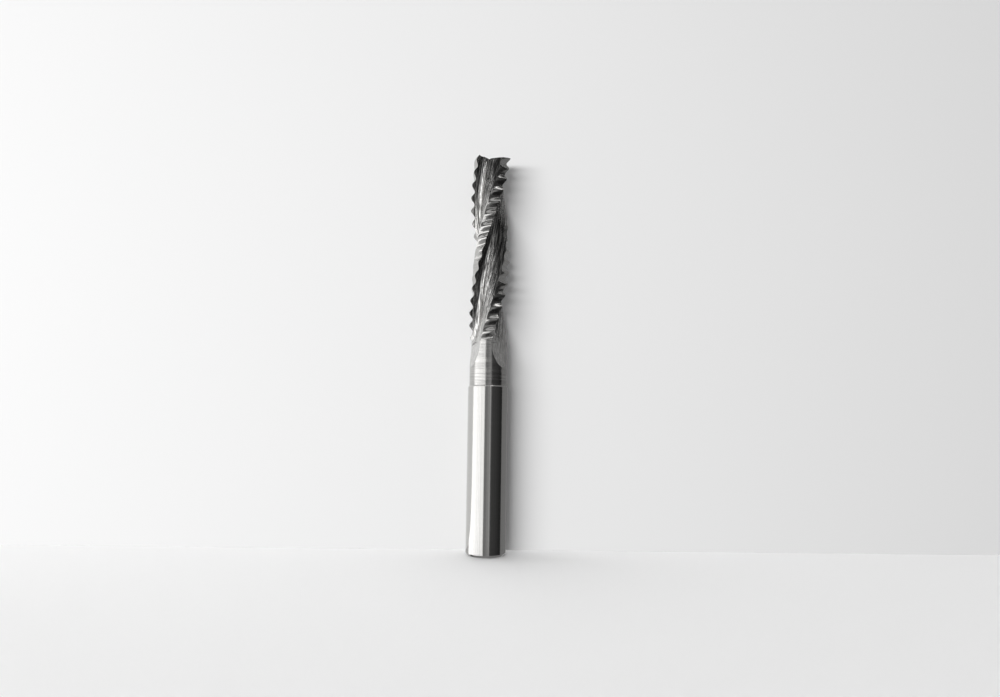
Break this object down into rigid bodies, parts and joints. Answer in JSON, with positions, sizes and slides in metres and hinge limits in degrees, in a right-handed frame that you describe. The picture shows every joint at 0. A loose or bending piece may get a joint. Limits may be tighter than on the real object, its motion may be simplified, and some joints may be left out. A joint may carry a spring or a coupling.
{
  "type": "roughing end mill",
  "caption": "Long solid carbide roughing end mill with a plain round shank, a slim ground neck, right-hand helical flutes and rounded wavy cutting edges.",
  "frame": {"origin": "centre of the shank's end face", "axes": "+Z along the tool axis from the shank's end to the cutting end; +X and +Y square to it, with -Y the side that the picture shows"},
  "size_m": [0.01, 0.01, 0.1],
  "materials": {
    "carbide": "bright ground tungsten carbide, uncoated"
  },
  "bodies": {
    "root": {"end_mill": "carbide"}
  },
  "joints": []
}
